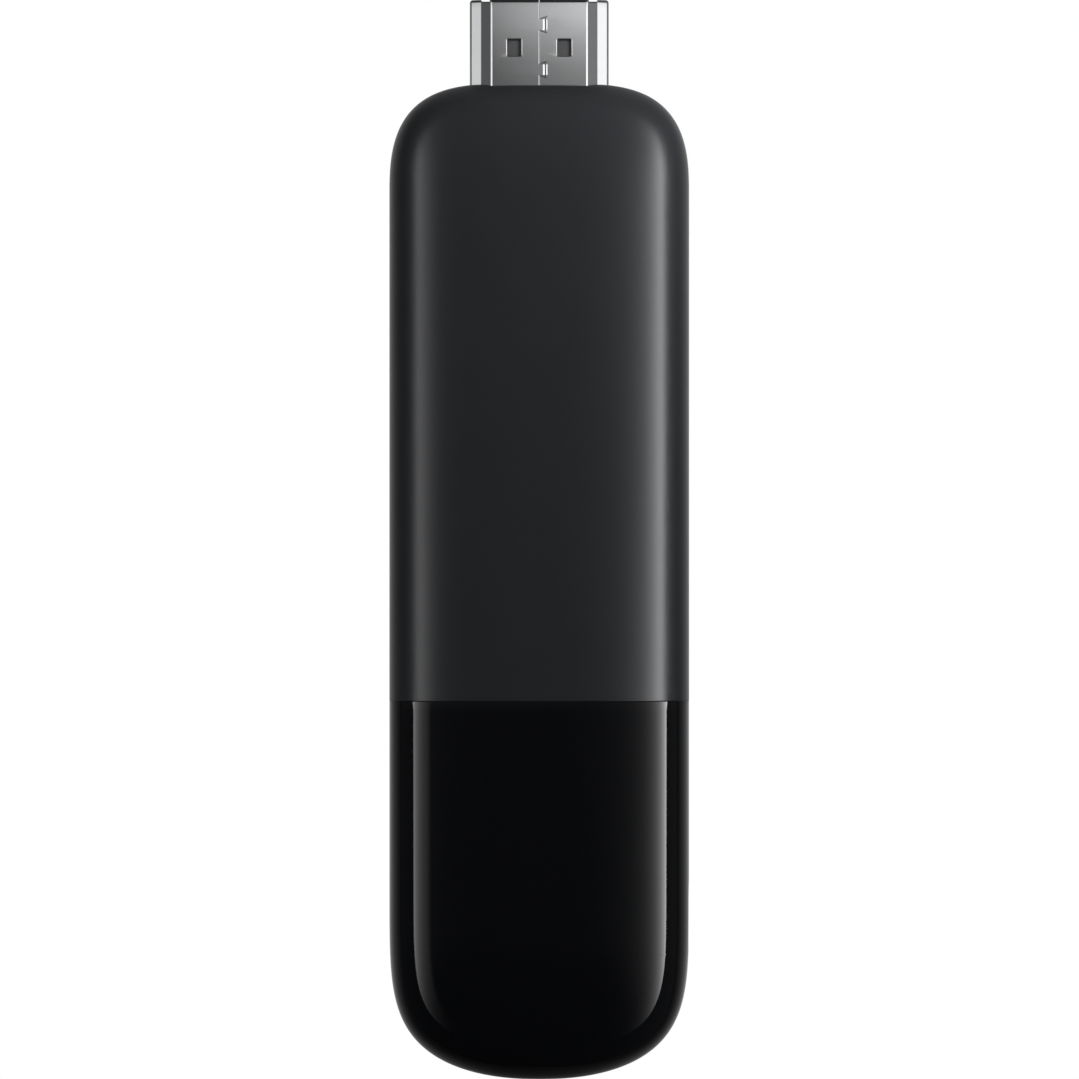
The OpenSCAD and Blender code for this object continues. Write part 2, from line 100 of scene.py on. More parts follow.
WALL = 1.0 * MM
EDGE_RADIUS = 0.05 * MM                 # rounding of the covers' moulded edges
PART_GAP = 0.03 * MM                    # half the gap at the parting plane
SEAM_GAP = 0.01 * MM                    # half the gap between the matte and the gloss cover

# Opening for the power socket
PORT_Y = (port_low.y + port_high.y) / 2
OPENING_HALF_LENGTH = 3.6 * MM
OPENING_HALF_HEIGHT = 1.6 * MM
OPENING_POWER = 3.6

# Plug's shell, wide side towards the back; heights are from the middle of its thickness
PLUG_HALF = plug_high.x
PLUG_HALF_HEIGHT = (plug_high.z - plug_low.z) / 2
UPRIGHT_HEIGHT = 0.7 * MM               # top of the upright walls
STEP_INSET = 1.15 * MM                  # where the lower slope turns into the upper one
STEP_HEIGHT = 1.3 * MM
FLAT_INSET = 2.15 * MM                  # where the upper slope meets the flat top
PLUG_SIDE = [
    (PLUG_HALF, UPRIGHT_HEIGHT), (PLUG_HALF - STEP_INSET, STEP_HEIGHT),
    (PLUG_HALF - FLAT_INSET, PLUG_HALF_HEIGHT),
]
PLUG_OUTLINE = [(-PLUG_HALF, -PLUG_HALF_HEIGHT), (PLUG_HALF, -PLUG_HALF_HEIGHT)]
PLUG_OUTLINE += PLUG_SIDE + [(-x, z) for x, z in reversed(PLUG_SIDE)]
PLUG_SHEET = 0.3 * MM
PLUG_BEND = 0.4 * MM                    # rounding of the bends, outside
INNER_BEND = 0.12 * MM                  # least rounding of the bends, inside
PLUG_LIP = 0.35 * MM                    # rounding of the shell's front rim
PLUG_BACK_Y = PLUG_FACE_Y - 6.3 * MM

# Windows, notches and locks of the plug's shell; setbacks are from the tip
WINDOW_X = 2.5 * MM
WINDOW_SETBACK = 4.85 * MM
WINDOW_WIDTH = 1.37 * MM
WINDOW_LENGTH = 1.63 * MM
WINDOW_CORNER = 0.1 * MM
WINDOW_RIM = 0.13 * MM                  # rounding of the rim
RELIEF = 0.35 * MM                      # how far the upper slopes are notched at the tip
RELIEF_INSETS = (STEP_INSET, 2 * MM)    # the notches' sides
RELIEF_HEIGHT = 0.9 * MM                # the notches' floor
SLIT = 0.05 * MM
LOCK_SETBACKS = (2.55 * MM, 7.05 * MM)
LOCK_WIDTH = 0.61 * MM
LOCK_ROOT = 1.1 * MM                    # length of a lock where it leaves the slit
LOCK_HEAD = 1.55 * MM                   # length of its far side
HEAD_GROOVE_HALF = 0.52 * MM            # half length of the groove along the far side
BEYOND = 1 * MM                         # how far cutters reach past what they cut


# ---- Small helpers ----

def link(obj):
    bpy.context.scene.collection.objects.link(obj)
    return obj


def shade(mesh, angle=SHARP_ANGLE):
    """Shades a mesh smooth, except across edges that turn more than angle."""
    mesh.shade_smooth()
    mesh.set_sharp_from_angle(angle=math.radians(angle))


def mesh_object(name, points, faces):
    """An object made of points and faces, in the scene."""
    mesh = bpy.data.meshes.new(name)
    mesh.from_pydata([tuple(p) for p in points], [], faces)
    mesh.validate()
    shade(mesh)
    return link(bpy.data.objects.new(name, mesh))


def sphere(name, radius, segments, rings):
    shape = bmesh.new()
    bmesh.ops.create_uvsphere(shape, u_segments=segments, v_segments=rings, radius=radius)
    mesh = bpy.data.meshes.new(name)
    shape.to_mesh(mesh)
    shape.free()
    return link(bpy.data.objects.new(name, mesh))


def smooth_step(value, start, end):
    """0 up to start and 1 from end on, with a soft rise between them."""
    rise = min(max((value - start) / (end - start), 0), 1)
    return rise * rise * (3 - 2 * rise)


def quarter_turn(steps):
    """The angles of a quarter turn in equal steps, both ends included."""
    return [math.pi / 2 * step / steps for step in range(steps + 1)]


def unit(vectors):
    length = np.linalg.norm(vectors, axis=-1, keepdims=True)
    return vectors / np.maximum(length, 1e-12)


def apply_modifiers(obj):
    """Replaces an object's mesh with the result of its modifiers."""
    depsgraph = bpy.context.evaluated_depsgraph_get()
    mesh = bpy.data.meshes.new_from_object(obj.evaluated_get(depsgraph))
    obj.modifiers.clear()
    obj.data = mesh
    shade(mesh)


def cut(obj, cutters):
    """Cuts each cutter out of obj and deletes the cutters."""
    for cutter in cutters:
        boolean = obj.modifiers.new("cut", "BOOLEAN")
        boolean.operation = "DIFFERENCE"
        boolean.solver = "EXACT"
        boolean.object = cutter
    apply_modifiers(obj)
    for cutter in cutters:
        bpy.data.objects.remove(cutter)


def soften(obj, width):
    """Rounds every edge of obj that turns more than SHARP_ANGLE."""
    bevel = obj.modifiers.new("bevel", "BEVEL")
    bevel.width = width
    bevel.segments = 2
    bevel.limit_method = "ANGLE"
    bevel.angle_limit = math.radians(SHARP_ANGLE)
    bevel.use_clamp_overlap = True
    apply_modifiers(obj)


def even_shading(obj):
    """Keeps flat areas flat in shading, however narrow the rounded strips beside them are."""
    weighted = obj.modifiers.new("weighted", "WEIGHTED_NORMAL")
    weighted.keep_sharp = True
    depsgraph = bpy.context.evaluated_depsgraph_get()
    mesh = bpy.data.meshes.new_from_object(
        obj.evaluated_get(depsgraph), preserve_all_data_layers=True, depsgraph=depsgraph)
    obj.modifiers.clear()
    obj.data = mesh


# ---- Outlines ----

def shrink(points, inset):
    """A polygon moved inwards, for points that run anticlockwise."""
    points = np.array(points)
    before = unit(points - np.roll(points, 1, 0))
    after = unit(np.roll(points, -1, 0) - points)
    quarter_left = np.array([[0, 1], [-1, 0]])
    m, k = before @ quarter_left, after @ quarter_left
    return points + (m + k) * inset / (1 + (m * k).sum(1, keepdims=True))


def rounded(points, radius, steps=8):
    """A polygon with every corner turned into an arc."""
    points = np.array(points)
    out = []
    for a, b, c in zip(np.roll(points, 1, 0), points, np.roll(points, -1, 0)):
        u, v = unit(a - b), unit(c - b)
        half = math.acos(np.clip(u @ v, -1, 1)) / 2
        centre = b + unit(u + v) * radius / math.sin(half)
        start = b + u * radius / math.tan(half) - centre
        stop = b + v * radius / math.tan(half) - centre
        sweep = math.atan2(start[0] * stop[1] - start[1] * stop[0], start @ stop)
        first = math.atan2(start[1], start[0])
        for i in range(steps + 1):
            angle = first + sweep * i / steps
            out.append(centre + radius * np.array([math.cos(angle), math.sin(angle)]))
    return np.array(out)


def ray_to_outline(outline, origin, direction):
    """Where a ray from origin leaves a closed outline that surrounds it."""
    parallel, slack = 1e-15, 1e-9
    furthest = 0
    for a, b in zip(outline, np.roll(outline, -1, 0)):
        edge = b - a
        det = direction[0] * -edge[1] + direction[1] * edge[0]
        if abs(det) < parallel:
            continue
        gap = a - origin
        along_ray = (gap[0] * -edge[1] + gap[1] * edge[0]) / det
        along_edge = (direction[0] * gap[1] - direction[1] * gap[0]) / det
        if -slack <= along_edge <= 1 + slack:
            furthest = max(furthest, along_ray)
    return origin + direction * furthest


# ---- Housing form ----

SECTION_POINTS = 150                    # points round the section of one half
SECTION_SAMPLES = 4001                  # places at which the section's length is added up
HALVINGS = 50                           # halvings with which the plug end's surface is found

CAP_DISTANCE = 1.2 * MM                 # where the plug end's cap meets the rings
CAP_ROWS = 15                           # rows between the plug and the rings
PLUG_RINGS = 30
PLUG_CROWDING = 1.5                     # how strongly the rings crowd towards the plug
MIDDLE_SPACING = 1.0 * MM
ROUND_RINGS = 70
ROUND_CROWDING = 2.6                    # the same, towards the round end
ROUND_FIRST = 0.02                      # share of the way at which the round end's rings start
ROUND_TIP = 0.002 * MM                  # distance of the last ring from the round end
SOCKET_RINGS = 41
SOCKET_BORDER = 0.6 * MM                # on both sides of the opening's ends, rings may be close
BORDER_SPACING = 0.004 * MM             # least distance of two rings there
LEAST_SPACING = 0.04 * MM               # and elsewhere


def opened(distance, reach, along, across):
    """How far a size has opened at a distance from an end, from 0 to 1."""
    left = np.clip((reach - distance) / reach, 0, 1)
    return np.clip(1 - left ** along, 0, 1) ** (1 / across)


def half_sizes(y, depth):
    """Half width of the housing at y, and its depth from the parting plane."""
    wide, thick = 1.0, 1.0
    for end, distance in ((PLUG_END, PLUG_FACE_Y - y), (ROUND_END, y - ROUND_END_Y)):
        wide = wide * opened(distance, end["reach"], end["along"], end["across"])
        thick = thick * opened(distance, end["thick_reach"], end["thick_power"], end["thick_power"])
    return HALF_WIDTH * wide, depth * thick


class Half:
    """The front or the rear half of the housing's outer surface."""

    def __init__(self, side):
        self.side = side
        self.power = FRONT_POWER if side > 0 else REAR_POWER
        self.depth = FRONT_DEPTH if side > 0 else REAR_DEPTH + REAR_BULGE
        self.fractions = self.even_fractions()

    def at(self, y, angle):
        """Points at y, at an angle round the section from the +X side."""
        a, b = half_sizes(y, self.depth)
        c, s = np.cos(angle), np.sin(angle)
        gauge = (np.abs(c) ** self.power + np.abs(s) ** self.power) ** (1 / self.power)
        height = np.minimum(b * s / gauge, FRONT_DEPTH if self.side > 0 else REAR_DEPTH)
        return np.stack([a * c / gauge, np.full_like(c, y), MID + self.side * height], -1)

    def even_fractions(self):
        """Fractions of the half turn that space points evenly along the section."""
        angle = np.linspace(0, math.pi, SECTION_SAMPLES)
        steps = np.linalg.norm(np.diff(self.at(0.0, angle), axis=0), axis=1)
        length = np.concatenate([[0], np.cumsum(steps)])
        return np.interp(np.linspace(0, length[-1], SECTION_POINTS), length, angle) / math.pi

    def edge_angle(self, y, height):
        """Angle at which the section at y is a height above the parting plane."""
        b = half_sizes(y, self.depth)[1]
        just_below_top = 0.999
        rise = min(height / b, just_below_top)
        return math.atan2(rise, (1 - rise ** self.power) ** (1 / self.power))

    def ring(self, y, edge_height, right_height):
        """One row of points from the +X edge to the -X edge of the half."""
        first = self.edge_angle(y, right_height)
        last = math.pi - self.edge_angle(y, edge_height)
        return self.at(y, first + (last - first) * self.fractions)

    def end_y(self, x, z):
        """y of the plug end's surface at x and z, by halving."""
        tiny = 1e-9
        near, far = np.zeros_like(x), np.full_like(x, PLUG_END["reach"])
        for _ in range(HALVINGS):
            middle = (near + far) / 2
            a, b = half_sizes(PLUG_FACE_Y - middle, self.depth)
            across = (np.abs(x) / np.maximum(a, tiny)) ** self.power
            outside = across + (np.abs(z - MID) / np.maximum(b, tiny)) ** self.power > 1
            near, far = np.where(outside, middle, near), np.where(outside, far, middle)
        return PLUG_FACE_Y - far


def opening_height(y, margin):
    """Height of the socket's opening above the parting plane at y, or 0 beside it."""
    reach = abs(y - PORT_Y) / (OPENING_HALF_LENGTH + margin)
    if reach >= 1:
        return 0.0
    return (OPENING_HALF_HEIGHT + margin) * (1 - reach ** OPENING_POWER) ** (1 / OPENING_POWER)


def ring_places(first, last):
    """Places along Y for the rings, closest together at the ends and beside the socket."""
    plug_side, round_side = PLUG_FACE_Y - PLUG_END["reach"], ROUND_END_Y + ROUND_END["reach"]
    plug_shares = np.linspace(0, 1, PLUG_RINGS) ** PLUG_CROWDING
    round_shares = np.linspace(ROUND_FIRST, 1, ROUND_RINGS) ** ROUND_CROWDING
    half_length = OPENING_HALF_LENGTH + EDGE_RADIUS
    places = np.concatenate([
        PLUG_FACE_Y - CAP_DISTANCE - (PLUG_END["reach"] - CAP_DISTANCE) * plug_shares,
        np.arange(round_side, plug_side, MIDDLE_SPACING),
        ROUND_END_Y + ROUND_END["reach"] * round_shares,
        PORT_Y - half_length * np.cos(np.linspace(0, math.pi, SOCKET_RINGS)),
        [first, last],
    ])
    places = np.unique(np.round(places[(places >= last) & (places <= first)], 8))[::-1]
    keep = [places[0]]
    for place in places[1:-1]:
        beside_socket = abs(abs(place - PORT_Y) - half_length) < SOCKET_BORDER
        if keep[-1] - place > (BORDER_SPACING if beside_socket else LEAST_SPACING):
            keep.append(place)
    return keep + [places[-1]]


def grid_faces(rows, columns, flip=False):
    """Faces between rows of points that follow each other."""
    faces = []
    for r in range(rows - 1):
        for c in range(columns - 1):
            a = r * columns + c
            face = (a, a + 1, a + 1 + columns, a + columns)
            faces.append(face[::-1] if flip else face)
    return faces


def cap_rows(half, edge):
    """Rows of points over the plug end, from the plug's outline to the first ring."""
    ring = half.ring(PLUG_FACE_Y - CAP_DISTANCE, edge, edge)
    clearance = PART_GAP * 2 + EDGE_RADIUS
    outline = rounded(shrink(PLUG_OUTLINE, -clearance), PLUG_BEND + clearance)
    origin = np.array([0.0, half.side * edge])
    rim = np.array([
        ray_to_outline(outline, origin, np.array([p[0], p[2] - MID]) - origin) for p in ring
    ])
    rows = []
    for share in np.linspace(0, 1, CAP_ROWS + 1)[:-1]:
        x = rim[:, 0] * (1 - share) + ring[:, 0] * share
        z = (MID + rim[:, 1]) * (1 - share) + ring[:, 2] * share
        rows.append(np.stack([x, half.end_y(x, z), z], -1))
    return rows


def cover_patch(side, first_y, last_y, has_plug_end, has_round_end):
    """Points and faces of one cover's outer surface."""
    half = Half(side)
    edge = PART_GAP + EDGE_RADIUS
    rows = cap_rows(half, edge) if has_plug_end else []
    for y in ring_places(first_y, last_y):
        rows.append(half.ring(y, edge, max(edge, opening_height(y, EDGE_RADIUS))))
    columns = len(rows[0])
    points = np.concatenate(rows)
    faces = grid_faces(len(rows), columns, flip=side < 0)
    if has_round_end:
        pole = len(points)
        points = np.concatenate([points, [[0, ROUND_END_Y, MID + side * edge]]])
        last_row = (len(rows) - 1) * columns
        for c in range(columns - 1):
            face = (last_row + c, last_row + c + 1, pole)
            faces.append(face[::-1] if side < 0 else face)
    return points, faces


def patch_normals(points, faces):
    mesh = bpy.data.meshes.new("patch")
    mesh.from_pydata([tuple(p) for p in points], [], faces)
    mesh.update()
    normals = np.array([v.normal for v in mesh.vertices])
    bpy.data.meshes.remove(mesh)
    return normals


def patch_rim(points, faces, normals):
    """Edges at a patch's rim, the points on them, and the direction outwards at each point."""
    directed = {(f[i - 1], f[i]) for f in faces for i in range(len(f))}
    edges = sorted((a, b) for a, b in directed if (b, a) not in directed)
    outward = np.zeros_like(points)
    for a, b in edges:
        along = unit(points[b] - points[a])
        for v in (a, b):
            outward[v] += unit(np.cross(along, normals[v]))
    rim = sorted({v for edge in edges for v in edge})
    return edges, rim, unit(outward[rim])


def close_shell(name, points, faces):
    """A closed shell, as thick as WALL, under a surface patch, its outer edges rounded."""
    normals = patch_normals(points, faces)
    rim_edges, rim, outward = patch_rim(points, faces, normals)
    everything = [points, points - normals * WALL]
    inner = len(points)
    everything[1][rim] += outward * EDGE_RADIUS
    levels = [{v: v for v in rim}]
    count = 2 * len(points)
    for angle in quarter_turn(4)[1:]:
        everything.append(
            points[rim] + outward * EDGE_RADIUS * math.sin(angle)
            - normals[rim] * EDGE_RADIUS * (1 - math.cos(angle))
        )
        levels.append({v: count + i for i, v in enumerate(rim)})
        count += len(rim)
    levels.append({v: inner + v for v in rim})
    closed = list(faces) + [tuple(inner + v for v in reversed(f)) for f in faces]
    for upper, lower in zip(levels, levels[1:]):
        for a, b in rim_edges:
            closed.append((upper[b], upper[a], lower[a], lower[b]))
    return mesh_object(name, np.concatenate(everything), closed)


# ---- Materials ----

# Sockets of a colour Mix node, several of which share a name
MIX_FACTOR, MIX_FROM, MIX_TO, MIX_RESULT = 0, 6, 7, 2


class Nodes:
    """Short names for building one material's node tree."""

    def __init__(self, name):
        self.material = bpy.data.materials.new(name)
        self.material.use_nodes = True
        self.tree = self.material.node_tree
        self.shader = self.tree.nodes["Principled BSDF"]

    def add(self, kind, **inputs):
        node = self.tree.nodes.new(kind)
        for key, value in inputs.items():
            node.inputs[key.replace("_", " ")].default_value = value
        return node

    def join(self, source, output, target, socket):
        self.tree.links.new(source.outputs[output], target.inputs[socket])

    def set(self, **values):
        for key, value in values.items():
            self.shader.inputs[key.replace("_", " ")].default_value = value

    def position(self, stretch=(1, 1, 1)):
        """Object coordinates, stretched along the axes."""
        place = self.add("ShaderNodeTexCoord")
        mapping = self.add("ShaderNodeMapping", Scale=stretch)
        self.join(place, "Object", mapping, "Vector")
        return mapping

    def noise(self, size, detail=2.0, stretch=(1, 1, 1)):
        """Noise whose features are about size metres across."""
        noise = self.add("ShaderNodeTexNoise", Scale=1 / size, Detail=detail)
        self.join(self.position(stretch), "Vector", noise, "Vector")
        return noise

    def tint(self, source, dark, light, output="Fac"):
        """Base colour that wanders between two colours."""
        mix = self.add("ShaderNodeMix")
        mix.data_type = "RGBA"
        mix.inputs[MIX_FROM].default_value = (*dark, 1)
        mix.inputs[MIX_TO].default_value = (*light, 1)
        self.join(source, output, mix, MIX_FACTOR)
        self.join(mix, MIX_RESULT, self.shader, "Base Color")

    def rough(self, source, low, high):
        """Roughness that wanders between two values."""
        spread = self.add("ShaderNodeMapRange", To_Min=low, To_Max=high)
        self.join(source, "Fac", spread, "Value")
        self.join(spread, "Result", self.shader, "Roughness")

    def bump(self, source, depth, output="Fac"):
        """Bump of a given depth in metres."""
        bump = self.add("ShaderNodeBump", Strength=1.0, Distance=depth)
        self.join(source, output, bump, "Height")
        self.join(bump, "Normal", self.shader, "Normal")


def matte_housing():
    """Fine-grained matte plastic."""
    m = Nodes("matte_housing")
    m.set(IOR=1.3)
    m.tint(m.noise(6 * MM, 3), (0.0270, 0.0282, 0.0309), (0.0300, 0.0312, 0.0339))
    m.rough(m.noise(0.6 * MM, 3), 0.275, 0.295)
    m.bump(m.noise(0.16 * MM, 2), 0.005 * MM)
    return m.material


def gloss_housing():
    """Polished plastic, very slightly wavy."""
    m = Nodes("gloss_housing")
    m.set(IOR=1.3)
    m.tint(m.noise(9 * MM, 2), (0.0042, 0.0047, 0.0060), (0.0048, 0.0053, 0.0067))
    m.rough(m.noise(3 * MM, 4), 0.03, 0.06)
    m.bump(m.noise(5 * MM, 1), 0.002 * MM)
    return m.material


def plug_steel():
    """Satin nickel with fine lengthways grain and a slightly uneven tone."""
    m = Nodes("plug_steel")
    m.set(Metallic=1.0)
    grain = m.noise(0.12 * MM, 2, stretch=(1, 0.06, 1))
    m.tint(m.noise(1.5 * MM, 3), (0.56, 0.565, 0.575), (0.60, 0.605, 0.61))
    m.rough(grain, 0.13, 0.17)
    m.bump(grain, 0.0002 * MM)
    return m.material


def insulator():
    """Dark grey moulded plastic inside the plug."""
    m = Nodes("insulator")
    m.tint(m.noise(0.8 * MM, 2), (0.075, 0.075, 0.078), (0.095, 0.095, 0.098))
    m.rough(m.noise(0.3 * MM, 2), 0.45, 0.6)
    m.bump(m.noise(0.1 * MM, 2), 0.003 * MM)
    return m.material


def gold_contact():
    """Gold plating, drawn lengthways."""
    m = Nodes("gold_contact")
    m.set(Metallic=1.0)
    m.tint(m.noise(0.5 * MM, 2), (0.78, 0.52, 0.2), (0.9, 0.64, 0.3))
    m.rough(m.noise(0.2 * MM, 2, stretch=(1, 0.1, 1)), 0.18, 0.3)
    m.bump(m.noise(0.2 * MM, 2), 0.001 * MM)
    return m.material


def plated_metal(name, dark, light, low, high):
    """Bare or plated sheet metal."""
    m = Nodes(name)
    m.set(Metallic=1.0)
    grain = 0.4 * MM
    m.tint(m.noise(2 * MM, 3), dark, light)
    m.rough(m.noise(grain, 3), low, high)
    m.bump(m.noise(grain, 2), 0.0005 * MM)
    return m.material


def plain_part(name, dark, light, low, high):
    """Moulded resin, ceramic or rubber."""
    m = Nodes(name)
    m.set(IOR=1.5)
    grain = 0.3 * MM
    m.tint(m.noise(4 * grain, 3), dark, light)
    m.rough(m.noise(grain, 3), low, high)
    m.bump(m.noise(grain, 3), 0.004 * MM)
    return m.material


def board():
    """Solder mask over copper tracks, which show as lighter cells."""
    m = Nodes("board")
    cells = m.add("ShaderNodeTexVoronoi", Scale=1 / (1.4 * MM))
    cells.distance = "MANHATTAN"
    m.join(m.position(), "Vector", cells, "Vector")
    m.tint(cells, (0.012, 0.07, 0.03), (0.03, 0.14, 0.06), output="Distance")
    m.rough(m.noise(0.5 * MM, 2), 0.25, 0.4)
    m.bump(cells, 0.01 * MM, output="Distance")
    return m.material


# Name, darkest and lightest colour, and lowest and highest roughness
METALS = (
    ("port_steel", (0.5, 0.51, 0.52), (0.62, 0.63, 0.64), 0.2, 0.34),
    ("shield_tin", (0.55, 0.56, 0.57), (0.7, 0.7, 0.71), 0.25, 0.42),
    ("antenna_brass", (0.62, 0.5, 0.28), (0.75, 0.62, 0.36), 0.2, 0.35),
    ("spreader_metal", (0.56, 0.57, 0.58), (0.68, 0.69, 0.7), 0.3, 0.45),
)
PLAIN_PARTS = (
    ("chip_resin", (0.022, 0.022, 0.024), (0.035, 0.035, 0.037), 0.5, 0.65),
    ("ferrite", (0.05, 0.05, 0.055), (0.08, 0.08, 0.085), 0.6, 0.75),
    ("capacitor_body", (0.4, 0.22, 0.06), (0.52, 0.32, 0.11), 0.4, 0.6),
    ("thermal_pad", (0.24, 0.33, 0.42), (0.31, 0.41, 0.52), 0.7, 0.85),
)
MATERIALS = {
    "matte_housing": matte_housing(),
    "gloss_housing": gloss_housing(),
    "plug_steel": plug_steel(),
    "insulator": insulator(),
    "gold_contact": gold_contact(),
    "board": board(),
}
MATERIALS.update((look[0], plated_metal(*look)) for look in METALS)
MATERIALS.update((look[0], plain_part(*look)) for look in PLAIN_PARTS)


# ---- Pieces ----

shown = {}                              # the new pieces by slot


def paint(obj, slot):
    obj.data.materials.clear()
    obj.data.materials.append(MATERIALS[slot])


def finish_piece(obj, slot, node):
    """Gives a new piece its material and slot, and puts it in the place of a CAD node."""
    paint(obj, slot)
    shown.setdefault(slot, []).append(obj)
    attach(obj, "root")
    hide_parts(node)


def make_covers():
    """The three covers, each a thin shell over its stretch of the housing's form."""
    edge = SEAM_GAP + EDGE_RADIUS
    plug_side = PLUG_FACE_Y - CAP_DISTANCE
    round_side = ROUND_END_Y + ROUND_TIP
    covers = (
        ("front_cover", 1, plug_side, SEAM_Y + edge, True, False, "matte_housing"),
        ("end_cover", 1, SEAM_Y - edge, round_side, False, True, "gloss_housing"),
        ("rear_cover", -1, plug_side, round_side, True, True, "matte_housing"),
    )
    for node, side, first_y, last_y, has_plug_end, has_round_end, slot in covers:
        points, faces = cover_patch(side, first_y, last_y, has_plug_end, has_round_end)
        finish_piece(close_shell(node + "_shell", points, faces), slot, node)


def plug_loop(inset, y):
    """The plug's outline, moved inwards, as a loop of points at y."""
    flat = rounded(shrink(PLUG_OUTLINE, inset), max(PLUG_BEND - inset, INNER_BEND))
    return np.stack([flat[:, 0], np.full(len(flat), y), MID + flat[:, 1]], -1)


def loop_faces(loops, bands):
    """Faces between closed loops of equally many points, band by band from the first loop on.

    As many bands as loops lead back to the first loop.
    """
    columns = len(loops[0])
    faces = []
    for band in range(bands):
        below, above = band * columns, (band + 1) % len(loops) * columns
        for c in range(columns):
            d = (c + 1) % columns
            faces.append((below + c, above + c, above + d, below + d))
    return faces


def box_cutter(name, low, high):
    """A box between two opposite corners."""
    mesh = bpy.data.meshes.new(name)
    shape = bmesh.new()
    bmesh.ops.create_cube(shape, size=1)
    for v in shape.verts:
        v.co = [(low[i] + high[i]) / 2 + v.co[i] * (high[i] - low[i]) for i in range(3)]
    shape.to_mesh(mesh)
    shape.free()
    return link(bpy.data.objects.new(name, mesh))


def closed_cutter(name, points, faces):
    """A cutter whose faces are all turned outwards."""
    cutter = mesh_object(name, points, faces)
    shape = bmesh.new()
    shape.from_mesh(cutter.data)
    bmesh.ops.recalc_face_normals(shape, faces=shape.faces)
    shape.to_mesh(cutter.data)
    shape.free()
    return cutter


def seam_cutter():
    """The slit where the folded sheet meets itself, with its two dovetail locks."""
    sides = []
    for offset in (-SLIT / 2, SLIT / 2):
        side = [(offset, TIP_Y + BEYOND)]
        for setback in LOCK_SETBACKS:
            y = TIP_Y - setback
            root, head = LOCK_ROOT / 2 + offset, LOCK_HEAD / 2 + offset
            side += [
                (offset, y + root), (LOCK_WIDTH + offset, y + head),
                (LOCK_WIDTH + offset, y - head), (offset, y - root),
            ]
        side.append((offset, PLUG_BACK_Y - BEYOND))
        sides.append(side)
    count = len(side)
    surface = MID + PLUG_HALF_HEIGHT
    points = [
        (x, y, z) for z in (surface - 2 * PLUG_SHEET, surface + PLUG_SHEET)
        for side in sides for x, y in side
    ]
    faces = []
    for i in range(count - 1):
        a, b, c, d = i, i + 1, count + i + 1, count + i
        faces.append((a, d, c, b))
        faces.append(tuple(v + 2 * count for v in (a, b, c, d)))
        faces.append((a, b, b + 2 * count, a + 2 * count))
        faces.append((d, d + 2 * count, c + 2 * count, c))
    faces.append((0, 2 * count, 3 * count, count))
    faces.append((count - 1, 2 * count - 1, 4 * count - 1, 3 * count - 1))
    return closed_cutter("seam_cutter", points, faces)


def groove_cutter(start, end, half_width, depth):
    """A V-shaped groove in the top of the plug, as wide as stated at the surface."""
    start, end = np.array(start), np.array(end)
    along = unit(end - start)
    sideways = np.array([along[1], -along[0]])
    surface = MID + PLUG_HALF_HEIGHT
    section = ((0, -depth), (2 * half_width, depth), (-2 * half_width, depth))
    points = [
        (*(place + sideways * across), surface + up)
        for place in (start, end) for across, up in section
    ]
    faces = [(0, 1, 2), (5, 4, 3), (0, 3, 4, 1), (1, 4, 5, 2), (2, 5, 3, 0)]
    return mesh_object("groove_cutter", points, faces)


def seam_groove(low, high):
    """A fine groove along the slit, from low to high."""
    return groove_cutter((0, low), (0, high), half_width=0.07 * MM, depth=0.036 * MM)


def lock_grooves(y):
    """Rolled edges on three sides of the lock at y, and a wider slit along its far side."""
    low, high = y - HEAD_GROOVE_HALF, y + HEAD_GROOVE_HALF
    slit_half = 1.2 * SLIT
    cutters = [
        groove_cutter(
            (LOCK_WIDTH, low), (LOCK_WIDTH, high), half_width=0.29 * MM, depth=0.09 * MM),
        box_cutter(
            "lock_slit", (LOCK_WIDTH - slit_half, low, MID + PLUG_HALF_HEIGHT - 2 * PLUG_SHEET),
            (LOCK_WIDTH + slit_half, high, MID + PLUG_HALF_HEIGHT + BEYOND)),
    ]
    for end in (-1, 1):
        root = (0.1 * MM, y + end * (LOCK_ROOT / 2 + 0.03 * MM))
        head = (LOCK_WIDTH + 0.2 * MM, y + end * (LOCK_HEAD / 2 + 0.06 * MM))
        cutters.append(groove_cutter(root, head, half_width=0.065 * MM, depth=0.07 * MM))
    return cutters


def seam_grooves():
    """The rolled edges beside the slit: fine along the middle and wider at the locks."""
    cutters = []
    top = TIP_Y + BEYOND
    for setback in LOCK_SETBACKS:
        y = TIP_Y - setback
        cutters += [seam_groove(y + LOCK_ROOT / 2, top)] + lock_grooves(y)
        top = y - LOCK_ROOT / 2
    return cutters + [seam_groove(PLUG_BACK_Y - BEYOND, top)]


def window_cutter(x, y, face):
    """A hole through one side of the sheet, with a rounded rim; face is 1 for the top, -1 below."""
    half_x, half_y = WINDOW_WIDTH / 2, WINDOW_LENGTH / 2
    corners = [(-half_x, -half_y), (half_x, -half_y), (half_x, half_y), (-half_x, half_y)]
    levels = [(0, -2 * PLUG_SHEET)]
    for angle in quarter_turn(6):
        levels.append((WINDOW_RIM * (1 - math.cos(angle)), WINDOW_RIM * (math.sin(angle) - 1)))
    levels.append((1.2 * WINDOW_RIM, PLUG_SHEET))
    loops = []
    for out, up in levels:
        outline = rounded(shrink(corners, -out), WINDOW_CORNER + out, steps=4)
        height = MID + face * (PLUG_HALF_HEIGHT + up)
        loops.append([(x + u, y + v, height) for u, v in outline])
    points = np.concatenate(loops)
    faces = loop_faces(loops, len(loops) - 1)
    faces.append(tuple(range(len(outline))))
    faces.append(tuple(range(len(points) - len(outline), len(points))))
    return closed_cutter("window_cutter", points, faces)


